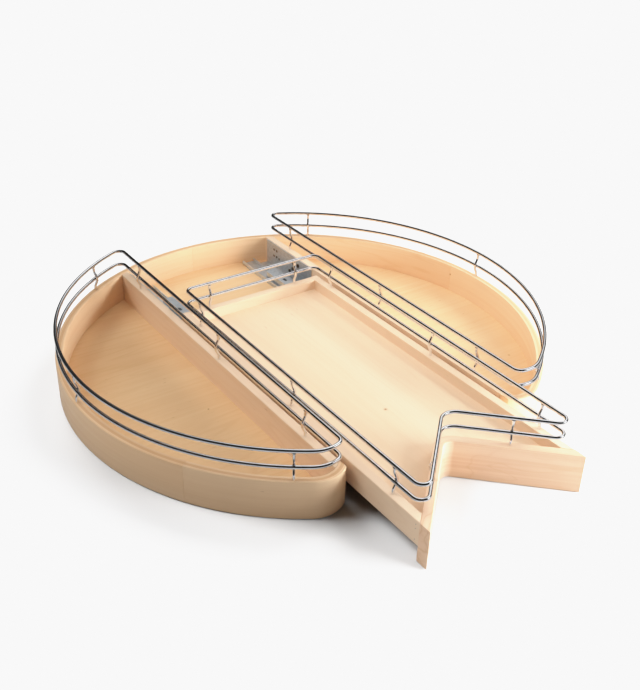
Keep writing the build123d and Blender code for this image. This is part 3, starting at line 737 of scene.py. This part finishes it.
def welds(foot, inward, rail_top):
    """Beads where a post meets the lower rail's flank and the top rail's underside."""
    angle = math.atan2(inward[1], inward[0])
    flank = (foot[0] + inward[0] * rail_radius, foot[1] + inward[1] * rail_radius, lower_rail_z)
    under = (foot[0], foot[1], rail_top - rail_radius)
    return [bead(flank, flank_bead, angle), bead(under, under_bead, angle)]


def tray_posts():
    """Feet and inward directions of the right rail's posts."""
    spots = []
    for angle in np.radians(band_post_angles):
        ray = np.array([math.cos(angle), math.sin(angle)])
        spots.append((band_rail_radius * ray, -ray))
    return spots + [(np.array([divider_rail_x, y]), np.array([1.0, 0.0])) for y in divider_post_y]


def drawer_posts():
    """Feet and inward directions of the drawer's posts, on the right-hand side."""
    spots = [(np.array([drawer_rail_x, y]), np.array([-1.0, 0.0])) for y in side_post_y]
    spots.append((np.array([back_post_x, back_rail_y]), np.array([0.0, -1.0])))
    rail_apex_y = apex_y + front_thickness / 2 / math.cos(notch_angle)
    front = np.array([front_post_x, rail_apex_y - front_post_x * math.tan(notch_angle)])
    return spots + [(front, np.array([math.sin(notch_angle), math.cos(notch_angle)]))]


def rail_set(name, arcs, spots, rail_top, body, nodes, turn_over=False):
    """A top wire, a lower wire and posts, which stand for nodes, and the posts' weld beads."""
    top, lower, posts = nodes
    for part, shapes, stands_for in (
        ("wire_top", [wire_loop(arcs, rail_top)], [top]),
        ("wire_lower", [wire_loop(arcs, lower_rail_z)], [lower]),
        ("wire_posts", [post(*spot, rail_top) for spot in spots], [posts]),
        ("weld_beads", [b for spot in spots for b in welds(*spot, rail_top)], []),
    ):
        if turn_over:
            shapes = [mirrored(shape) for shape in shapes]
        add_piece(f"{part}_{name}", shapes, finishes["chrome"], body, stands_for)


for side, sign in SIDES.items():
    rail_set(side, tray_rail_arcs(), tray_posts(), top_rail_z, "tray",
             (f"rail_top_{side}", f"rail_lower_{side}", f"rail_posts_{side}"), turn_over=sign < 0)
spots = drawer_posts()
both = spots + [(foot * (-1, 1), inward * (-1, 1)) for foot, inward in spots]
rail_set("drawer", drawer_rail_arcs(), both, drawer_rail_z, "drawer",
         ("drawer_rail_top", "drawer_rail_lower", "drawer_rail_posts"))


# Slides
def channel(half, bottom, top, opens_up):
    """A bent channel's section: a web, two walls and two lips turned inwards. The sheet's outer
    bends are round, its inner ones tight. Opens_up False turns it over."""
    g, lip = slide_gauge, slide_lip
    right = [(half, bottom), (half, top), (half - lip, top), (half - lip, top - g),
             (half - g, top - g), (half - g, bottom + g)]
    left = [(-x, z) for x, z in reversed(right)]
    radii = channel_bend_radii + channel_bend_radii[::-1]
    outline = soften(right + left, np.array(radii), steps=3)
    return outline if opens_up else np.array([0, bottom + top]) + outline * (1, -1)


def slide_members(side):
    """The outer channels of the slide on one side, 1 for the right: the cabinet's, and the
    drawer's with the hook tab and its pin at the back."""
    drawer_low, drawer_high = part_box("slide_drawer_member_right")
    lower = channel(slide_half, cabinet_low.z, cabinet_high.z, opens_up=True)
    upper = channel(slide_half, drawer_low.z, drawer_panel_bottom, opens_up=False)
    rear = drawer_high.y
    tab_half, tab_top = slide_half / 2, drawer_high.z
    web_z = drawer_panel_bottom - slide_gauge
    tab = [(-tab_half, web_z), (tab_half, web_z), (tab_half, tab_top), (-tab_half, tab_top)]
    tab = soften(tab, np.array(hook_tab_radii), steps=5)
    pin = ring_section(hook_pin_radius, 24) + (0, (drawer_floor + tab_top) / 2)
    cabinet = [extruded(lower, slide_x, cabinet_low.y, cabinet_high.y)]
    carrier = [
        extruded(upper, slide_x, drawer_low.y, rear),
        extruded(tab, slide_x, rear - slide_gauge, rear),
        extruded(pin, slide_x, drawer_back_y - hook_pin_reach, rear, chamfer=0.4 * MM),
    ]
    if side < 0:
        cabinet, carrier = [[mirrored(shape) for shape in shapes] for shapes in (cabinet, carrier)]
    return cabinet, carrier


for side, sign in SIDES.items():
    cabinet, carrier = slide_members(sign)
    add_piece(f"slide_channel_cabinet_{side}", cabinet, finishes["zinc"], "tray",
              [f"slide_cabinet_member_{side}"], sharp=30)
    add_piece(f"slide_channel_drawer_{side}", carrier, finishes["zinc"], "drawer",
              [f"slide_drawer_member_{side}"], sharp=30)


def eased_node(node, finish, width):
    """Gives a node its finish and rounds its edges: its loose triangles are joined, and a bevel
    follows every edge that turns by more than 40 degrees."""
    finish_node(node, finish)
    piece = frame["nodes"][node]
    joined = piece.modifiers.new("joined", "WELD")
    joined.merge_threshold = 0.002 * MM
    bevel = piece.modifiers.new("ease", "BEVEL")
    bevel.width, bevel.segments = width, 2
    bevel.limit_method, bevel.angle_limit = "ANGLE", math.radians(40)
    bevel.harden_normals = True


for side in SIDES:
    for node, finish in (("middle_member", "zinc"), ("bracket", "bracket"), ("foot", "zinc")):
        eased_node(f"slide_{node}_{side}", finish, sheet_ease)
    for node in ("lower_cage", "upper_cage"):
        finish_node(f"slide_{node}_{side}", "zinc")
    for node in ("lower_balls", "upper_balls"):
        finish_node(f"slide_{node}_{side}", "ball")
    finish_node(f"slide_rivets_{side}", "screw")
    eased_node(f"locking_clip_{side}", "clip", clip_ease)
for node in ("turntable_lower_ring", "turntable_upper_ring"):
    eased_node(node, "ring", ring_ease)
finish_node("turntable_ball_cage", "ring")


# Screws
def screw_shape(head, shank, length):
    """A screw pointing down, its head's rim at z = 0. Rings of points run from the middle of the
    head over its top, down its rim and along the shank. The top is a low dome,
    height * (1 - 0.35 (r / R)^4), less a cross recess: where a point is nearer than the arm's
    half width to either axis and inside the arm's length, it lies lower, by a smooth step."""
    head_height, sink = head
    radius = screw_head_radius
    a = np.linspace(0, 2 * math.pi, 48, endpoint=False)
    shares = [0.03, 0.08, 0.13, 0.18, 0.24, 0.32, 0.40, 0.46, 0.52, 0.58, 0.66, 0.78, 0.90, 0.97]
    r = np.tile(radius * np.array(shares)[:, None], (1, len(a)))
    beside = r * np.minimum(abs(np.sin(a)), abs(np.cos(a))) / radius
    along = r * np.maximum(abs(np.sin(a)), abs(np.cos(a))) / radius

    def falls(value, low, high):
        """1 below low, 0 above high, a smooth step between."""
        t = np.clip((value - low) / (high - low), 0, 1)
        return 1 - t * t * (3 - 2 * t)

    cross = falls(beside, 0.08, 0.15) * falls(along, 0.44, 0.58)
    z = head_height * (1 - 0.35 * (r / radius) ** 4) - recess_depth * cross
    below = [(radius, head_height / 2), (radius, 0), (shank, -sink), (shank, MM - length),
             (shank / 6, -length)]
    r = np.concatenate([r, np.tile([[x] for x, _ in below], (1, len(a)))])
    z = np.concatenate([z, np.tile([[y] for _, y in below], (1, len(a)))])
    return skin(np.stack([r * np.cos(a), r * np.sin(a), z], -1))


def screws(name, node, spots, body, finish="screw", head=pan_head, shank=shank_radius):
    """One piece for a set of screws. A spot is where the head's rim lies, a matrix that turns the
    screw from pointing down, and its length. Each cross stands at its own angle."""
    shapes = []
    for number, (place, turn, length) in enumerate(spots):
        spin = Matrix.Rotation(cross_turn * number, 4, "Z")
        screw = screw_shape(head, shank, length)
        shapes.append(placed(screw, Matrix.Translation(Vector(place)) @ turn @ spin))
    add_piece(name, shapes, finishes[finish], body, [node], sharp=35)


def both_sides(spots):
    """Spots on the right, and the same on the left."""
    flip = Matrix.Diagonal((-1, 1, 1, 1))
    return spots + [((-x, y, z), flip @ turn @ flip, length) for (x, y, z), turn, length in spots]


points_down, points_up = Matrix.Identity(4), Matrix.Rotation(math.pi, 4, "Y")
into_wall = Matrix.Rotation(-math.pi / 2, 4, "Y")
foot_low, foot_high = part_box("slide_foot_right")
spots = [((bay_half - bracket_gauge, bracket_rear - ahead, up + wall_bottom), into_wall, wall_screw_length)
         for ahead, up in bracket_screw_spots]
floor_screw_x = (cabinet_high.x + bay_half - bracket_gauge) / 2
floor_screw_y = [bracket_rear - ahead for ahead in floor_screw_setbacks]
floor_screw_y.append((foot_low.y + foot_high.y) / 2)
spots += [((floor_screw_x, y, foot_high.z), points_down, floor_screw_length) for y in floor_screw_y]
screws("cross_screws_bracket", "bracket_screws", both_sides(spots), "tray", finish="dark_screw")

clip_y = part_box("locking_clip_right")[0].y + clip_screw_setback
clip_bottom = drawer_panel_bottom - 2 * slide_gauge
spots = [((slide_x + across, clip_y, clip_bottom), points_up, clip_screw_length)
         for across in (-clip_screw_spread, clip_screw_spread)]
screws("cross_screws_clip", "clip_screws", both_sides(spots), "drawer", shank=clip_shank_radius)

divider_x = bay_half + divider_thickness / 2
spots = [((divider_x, y, panel_bottom), points_up, divider_screw_length) for y in divider_screw_y]
screws("cross_screws_divider", "divider_screws", both_sides(spots), "tray", head=countersunk_head)

spots = [((ring_screw_radius * math.cos(a), ring_screw_radius * math.sin(a), floor_z),
          points_down, ring_screw_length) for a in ring_screw_angles]
screws("cross_screws_turntable", "turntable_screws", spots, "tray", head=countersunk_head)


# Studio
def from_angles(azimuth, elevation):
    """The direction at an azimuth (0 is -Y, 90 is +X) and an elevation in degrees."""
    a, e = math.radians(azimuth), math.radians(elevation)
    return math.sin(a) * math.cos(e), -math.cos(a) * math.cos(e), math.sin(e)


def studio_square(name, half, finish, shader):
    """A flat square of the studio, half its side given in metres, with its finished shader."""
    finish.node("ShaderNodeOutputMaterial", {}, {"Surface": shader})
    corners = [(-half, -half, 0), (half, -half, 0), (half, half, 0), (-half, half, 0)]
    mesh = bpy.data.meshes.new(name)
    mesh.from_pydata(corners, [], [(0, 1, 2, 3)])
    mesh.materials.append(finish.material)
    square = bpy.data.objects.new(name, mesh)
    bpy.context.scene.collection.objects.link(square)
    return square


def studio_floor():
    """A wide floor just below the object, of one pale tone to the camera. Reflections see it
    only round the object, as a table in a dark room. It throws more light back at the front
    right than elsewhere."""
    f = Finish("studio_floor")
    seen, glossy = f.rays()
    table = f.ramp(f.vector("LENGTH", f.here()), 0.8, 1.5, 1.0, 0.0)
    mirrored_in = f.mix(table, (0.01, 0.01, 0.01), (0.19, 0.19, 0.19))
    right = f.ramp(f.vector("DOT_PRODUCT", f.here(), (0.8, -0.6, 0)), 0.10, 0.38)
    thrown_back = f.mix(right, (0.225, 0.225, 0.225), (0.42, 0.41, 0.395))
    colour = f.mix(glossy, thrown_back, mirrored_in)
    colour = f.mix(seen, colour, (0.50, 0.50, 0.503))
    paper = f.node("ShaderNodeBsdfDiffuse", {}, {"Color": colour})
    floor = studio_square("studio_floor", 30.0, f, paper)
    floor.location.z = -0.2 * MM
    return floor


def studio_sky():
    """The studio round the object. The camera sees it plain white, and it adds next to no light.
    Reflections see a dark room with one large soft box, high up at the back right, so that
    chrome shows a white line beside black."""
    world = bpy.data.worlds.new("studio")
    bpy.context.scene.world = world
    f = Finish("studio", world)
    seen, glossy = f.rays()
    towards = f.node("ShaderNodeTexCoord", output=0)
    soft_box = f.ramp(f.vector("DOT_PRODUCT", towards, from_angles(125, 51)), 0.82, 1.0, 0.02, 1.3)
    ambient, mirrored_room, plain = [
        f.node("ShaderNodeBackground", {}, {"Color": (1, 1, 1, 1), "Strength": strength})
        for strength in (0.01, soft_box, 1.3)
    ]
    room = f.node("ShaderNodeMixShader", {}, {0: glossy, 1: ambient, 2: mirrored_room})
    both_ways = f.node("ShaderNodeMixShader", {}, {0: seen, 1: room, 2: plain})
    f.node("ShaderNodeOutputWorld", {}, {0: both_ways})


def add_lamp(name, data, way, floor, on_floor):
    """Places a lamp that shines against a direction, on the floor alone or on all but the
    floor. Reflections see the room instead of it."""
    light = bpy.data.objects.new(name, data)
    light.rotation_mode = "QUATERNION"
    light.rotation_quaternion = Vector(way).to_track_quat("Z", "Y")
    light.visible_glossy = False
    light.visible_camera = False
    bpy.context.scene.collection.objects.link(light)
    lit = bpy.data.collections.new(f"{name}_lit")
    lit.objects.link(floor)
    lit.collection_objects[0].light_linking.link_state = "INCLUDE" if on_floor else "EXCLUDE"
    light.light_linking.receiver_collection = lit
    return light


def distant_lamp(name, azimuth, elevation, strength, floor, on_floor=False):
    """A wide distant lamp."""
    data = bpy.data.lights.new(name, "SUN")
    data.energy, data.angle = strength, math.radians(30)
    add_lamp(name, data, from_angles(azimuth, elevation), floor, on_floor)


def snooted_lamp(name, place, aim, spread, power, floor, source_radius=0.08):
    """A lamp with a narrow soft-edged cone, its spread in degrees."""
    data = bpy.data.lights.new(name, "SPOT")
    data.energy, data.spot_size, data.spot_blend = power, math.radians(spread), 1.0
    data.shadow_soft_size = source_radius
    light = add_lamp(name, data, Vector(place) - Vector(aim), floor, on_floor=False)
    light.location = place


def near_lamp(name, place, aim, size, power, floor, colour=(1, 1, 1), on_floor=False):
    """A round lamp near the object, so that its light falls off across it."""
    data = bpy.data.lights.new(name, "AREA")
    data.shape, data.size, data.energy, data.color = "DISK", size, power, colour
    light = add_lamp(name, data, Vector(place) - Vector(aim), floor, on_floor)
    light.location = place


def reflector(place, aim, size, strength):
    """A square card that only reflections see."""
    f = Finish("reflector")
    glow = f.node("ShaderNodeEmission", {}, {"Strength": strength})
    card = studio_square("reflector", size / 2, f, glow)
    card.rotation_mode = "QUATERNION"
    card.rotation_quaternion = (Vector(aim) - Vector(place)).to_track_quat("Z", "Y")
    card.location = place
    card.visible_camera = card.visible_diffuse = card.visible_shadow = False


def tone_curve(straight=0.7, white=1.18, brightest=0.939):
    """The camera's tone curve: a straight line that bends over towards its brightest tone."""
    view = bpy.context.scene.view_settings
    view.view_transform = "Standard"
    view.use_curve_mapping = True
    mapping = view.curve_mapping
    mapping.white_level = (white, white, white)
    mapping.extend = "HORIZONTAL"
    line = mapping.curves[3]
    line.points[1].location = (1.0, brightest)
    middle = (straight + white) / 2
    line.points.new(straight / white, straight)
    line.points.new(middle / white, straight + 0.75 * (brightest - straight))
    mapping.update()


def camera(azimuth, elevation, distance, target, roll, focal_pixels, photo_height=690):
    """The photograph's camera. The sensor's width spans the photograph's height, its longer
    side, in pixels."""
    back = Vector(from_angles(azimuth, elevation))
    data = bpy.data.cameras.new("camera")
    data.sensor_width = 36.0
    data.lens = focal_pixels * data.sensor_width / photo_height
    data.clip_start, data.clip_end = 0.05, 100
    cam = bpy.data.objects.new("camera", data)
    right = (-back).cross(Vector((0, 0, 1))).normalized()
    up = right.cross(-back)
    c, s = math.cos(math.radians(roll)), math.sin(math.radians(roll))
    axes = Matrix((c * right + s * up, c * up - s * right, back)).transposed()
    cam.matrix_world = Matrix.Translation(Vector(target) + back * distance) @ axes.to_4x4()
    bpy.context.scene.collection.objects.link(cam)
    bpy.context.scene.camera = cam


floor = studio_floor()
studio_sky()

# Lamps on the object alone. A distant one comes from an azimuth and an elevation and has a
# strength. A near one has a place, an aim, a size in metres or degrees, and a power in watts.
distant_lamp("window_back_left", 214, 50, 1.4, floor)
distant_lamp("window_left", 262, 30, 0.62, floor)
distant_lamp("room_front", 355, 28, 0.2, floor)
distant_lamp("ceiling", 0, 88, 0.5, floor)
near_lamp("box_front", (0.69, -1.07, 0.32), (-0.05, -0.42, 0.03), 0.5, 24, floor, (0.95, 1.0, 1.05))
near_lamp("box_right", (1.2, -0.2, 0.7), (0, -0.1, 0.03), 0.7, 13, floor, (1.03, 1.0, 0.97))
near_lamp("box_over_drawer", (0.0, 0.0, 0.45), (0.4, 0.06, 0.25), 0.3, 1.05, floor)
snooted_lamp("snoot_back", (-0.35, -0.9, 0.75), (0.0, 0.40, 0.05), 11, 44, floor)
reflector((0.75, -1.0, 0.6), (0, 0.1, 0.1), 0.6, 1.6)

# Lamps on the floor alone, for its pale tone and the object's soft shadows
distant_lamp("floor_right", 112, 35, 4.2, floor, on_floor=True)
distant_lamp("floor_back", 170, 25, 4.1, floor, on_floor=True)
distant_lamp("floor_back_left", 225, 50, 4.8, floor, on_floor=True)
near_lamp("floor_front", (0.3, -1.1, 0.4), (0.1, -0.6, 0), 0.4, 15, floor, on_floor=True)
near_lamp("floor_front_right", (0.55, -0.95, 0.4), (0.2, -0.55, 0), 0.4, 9, floor, on_floor=True)

tone_curve()
camera(azimuth=-35.41, elevation=30.62, distance=1.616, target=(0.02394, -0.02278, 0.0415),
       roll=1.69, focal_pixels=943.8)
